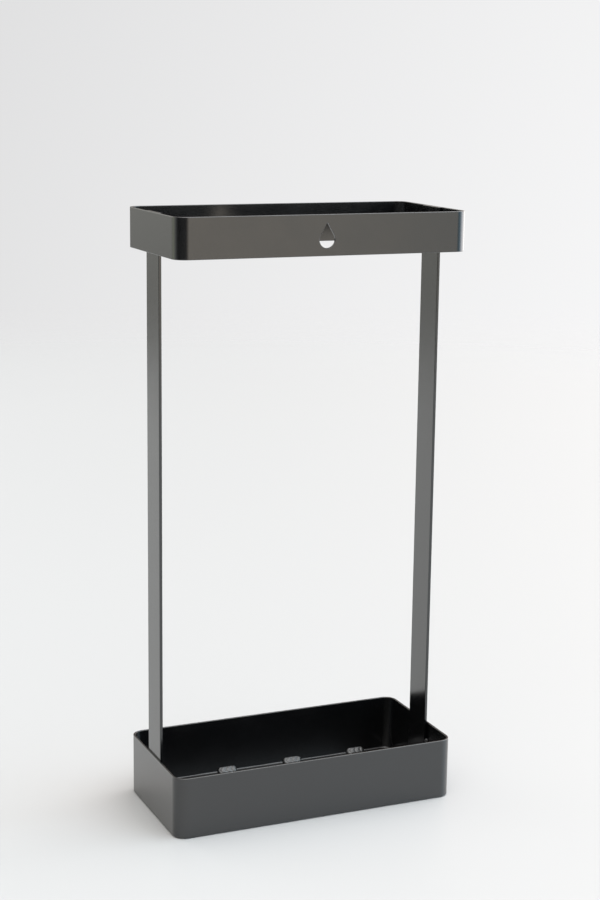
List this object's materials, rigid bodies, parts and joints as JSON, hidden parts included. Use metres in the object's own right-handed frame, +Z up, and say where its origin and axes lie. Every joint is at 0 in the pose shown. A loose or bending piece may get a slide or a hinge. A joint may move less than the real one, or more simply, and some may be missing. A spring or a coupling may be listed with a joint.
{
  "type": "umbrella stand",
  "caption": "Slim floor-standing umbrella stand: an open rounded steel ring held over a shallow rounded steel drip tray by flat bars at its ends.",
  "frame": {"origin": "middle of the footprint, on the floor under the rubber feet", "axes": "+X to the right along the long side, +Y to the back, +Z up; the cut-out in the ring faces -Y"},
  "size_m": [0.3, 0.142, 0.6],
  "materials": {
    "steel_paint": "satin black powder coat",
    "weld_paint": "satin black powder coat over rippled weld",
    "rubber": "matt"
  },
  "bodies": {
    "root": {"top_ring": "steel_paint", "left_upright": "steel_paint", "right_upright": "steel_paint", "tray_wall": "steel_paint", "tray_floor": "steel_paint", "front_floor_welds": "weld_paint", "rear_floor_welds": "weld_paint", "left_ring_welds": "weld_paint", "right_ring_welds": "weld_paint", "left_tray_welds": "weld_paint", "right_tray_welds": "weld_paint", "front_left_foot": "rubber", "front_right_foot": "rubber", "rear_left_foot": "rubber", "rear_right_foot": "rubber"}
  },
  "joints": []
}
